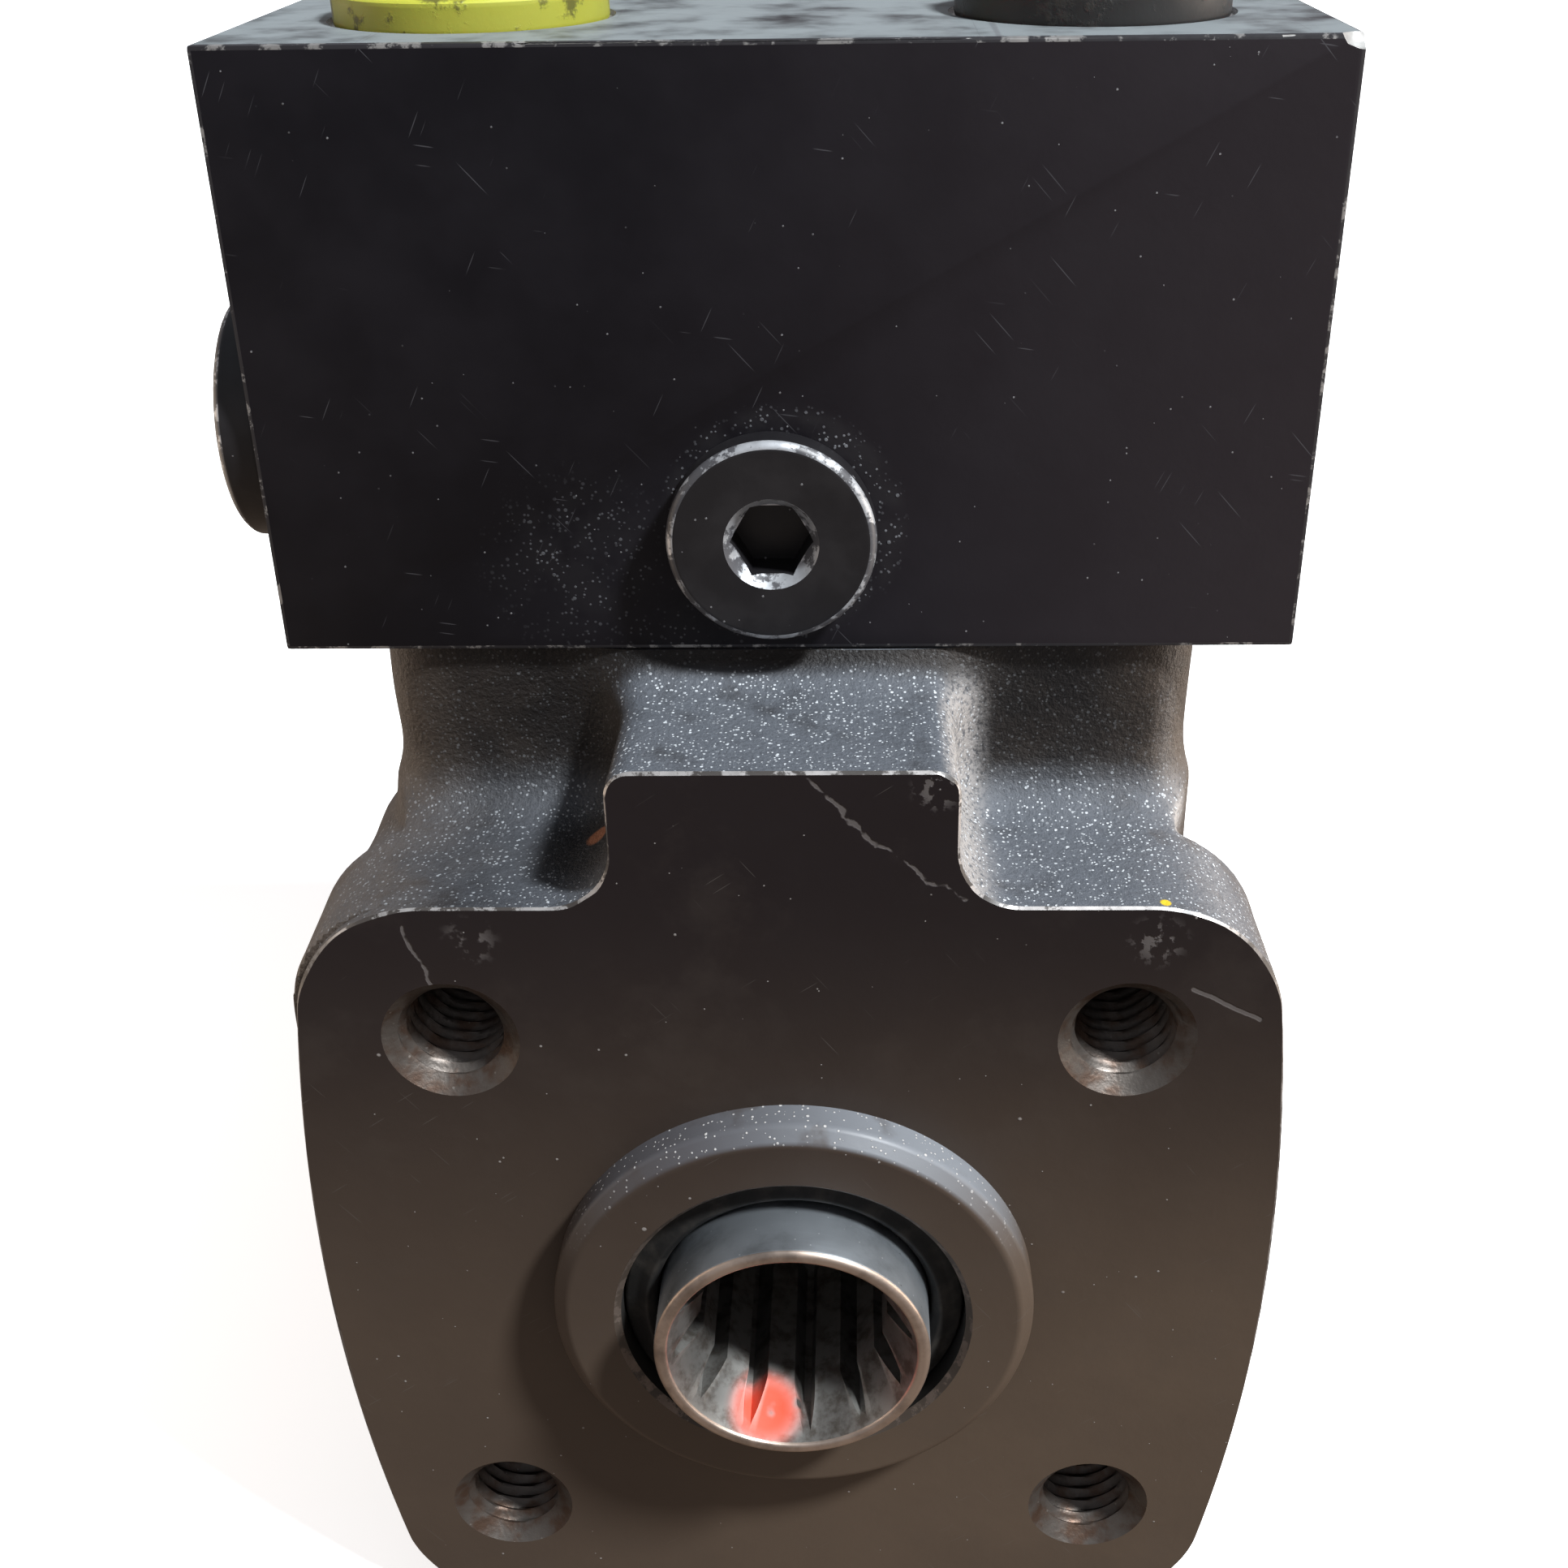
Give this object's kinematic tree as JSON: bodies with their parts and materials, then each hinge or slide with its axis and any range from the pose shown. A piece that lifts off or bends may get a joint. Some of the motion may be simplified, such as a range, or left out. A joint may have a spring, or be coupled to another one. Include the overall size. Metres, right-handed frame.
{
  "type": "hydrostatic steering unit",
  "caption": "Rotary-valve hydrostatic steering unit with a splined input, square four-hole flange, gerotor set and bolted port block.",
  "frame": {"origin": "middle of the base, under the unit, at the level of the flange foot and the lowest line of the gerotor set", "axes": "-Y out of the mounting face along the input shaft, +Z out of the port face, +X to the right seen from the input end"},
  "size_m": [0.091, 0.1556, 0.1578],
  "materials": {
    "cast_body": "sand-cast iron under thin worn dark brown-black paint",
    "block_paint": "machined steel block under satin near-black paint, chipped at a corner",
    "bright_steel": "ground steel",
    "worn_steel": "oiled, slightly stained steel",
    "black_oxide": "black-oxide or painted fastener with worn edges",
    "rubber": "nitrile rubber",
    "yellow_plastic": "dirty yellow polyethylene",
    "black_plastic": "black polyethylene"
  },
  "bodies": {
    "housing": {"housing": "cast_body", "port_block": "block_paint", "block_screw_1": "black_oxide", "block_screw_2": "black_oxide", "block_screw_3": "black_oxide", "block_screw_4": "black_oxide", "block_face_oring_1": "rubber", "block_face_oring_2": "rubber", "block_face_oring_3": "rubber", "block_face_oring_4": "rubber", "front_port_plug": "black_oxide", "front_plug_oring": "rubber", "side_port_plug": "black_oxide", "side_plug_oring": "rubber", "pressure_port_cap": "yellow_plastic", "tank_port_cap": "black_plastic", "left_port_cap": "black_plastic", "right_port_cap": "black_plastic", "relief_valve_seat": "bright_steel", "relief_spring": "bright_steel", "inlet_check_seat": "bright_steel", "inlet_ball_stop": "bright_steel", "dust_seal": "rubber", "shaft_seal": "rubber", "thrust_race_front": "bright_steel", "thrust_needle_cage": "bright_steel", "thrust_race_rear": "bright_steel", "spacer_plate": "bright_steel", "gerotor_ring": "worn_steel", "end_cap": "cast_body", "end_cap_screw_1": "black_oxide", "end_cap_screw_2": "black_oxide", "end_cap_screw_3": "black_oxide", "end_cap_screw_4": "black_oxide", "end_cap_screw_5": "black_oxide", "end_cap_screw_6": "black_oxide", "end_cap_screw_7": "black_oxide"},
    "spool": {"spool": "worn_steel"},
    "sleeve": {"sleeve": "bright_steel", "cross_pin": "bright_steel", "spring_retaining_ring": "bright_steel", "centring_leaf_upper_bowed": "bright_steel", "centring_leaf_upper_flat": "bright_steel", "centring_leaf_lower_flat": "bright_steel", "centring_leaf_lower_bowed": "bright_steel"},
    "drive": {"drive_shaft": "bright_steel"},
    "star": {"gerotor_star": "worn_steel"},
    "orbit": {"drive_spacer": "bright_steel"},
    "relief_valve": {"relief_poppet": "bright_steel"},
    "check_valve": {"inlet_check_ball": "bright_steel"}
  },
  "joints": [
    {"name": "sleeve_spin", "type": "hinge", "parent": "housing", "child": "sleeve", "pos_m": [0.00155, -0.00958, 0.044], "axis": [0, 1, 0], "continuous": true},
    {"name": "spool_lost_motion", "type": "hinge", "parent": "sleeve", "child": "spool", "pos_m": [0.00155, -0.03957, 0.044], "axis": [0, 1, 0], "range_deg": [-8, 8], "stiffness_Nm_per_rad": 4},
    {"name": "star_orbit", "type": "hinge", "parent": "housing", "child": "orbit", "pos_m": [0.00155, 0.04342, 0.044], "axis": [0, 1, 0], "continuous": true},
    {"name": "star_spin", "type": "hinge", "parent": "orbit", "child": "star", "pos_m": [0.00155, 0.04342, 0.047], "axis": [0, 1, 0], "continuous": true},
    {"name": "drive_spin", "type": "hinge", "parent": "orbit", "child": "drive", "pos_m": [0.00155, -0.02658, 0.044], "axis": [0, 0.9991, 0.0431], "continuous": true},
    {"name": "relief_lift", "type": "slide", "parent": "housing", "child": "relief_valve", "axis": [0, -1, 0], "range_m": [0, 0.002], "stiffness_N_per_m": 1500, "springref_m": -0.004, "deforming": ["relief_spring"]},
    {"name": "check_ball_lift", "type": "slide", "parent": "housing", "child": "check_valve", "axis": [0, 0, 1], "range_m": [0, 0.0018]}
  ],
  "couplings": [
    {"joint": "star_orbit", "follows": "sleeve_spin", "ratio": -6},
    {"joint": "star_spin", "follows": "sleeve_spin", "ratio": 7},
    {"joint": "drive_spin", "follows": "sleeve_spin", "ratio": 7}
  ]
}
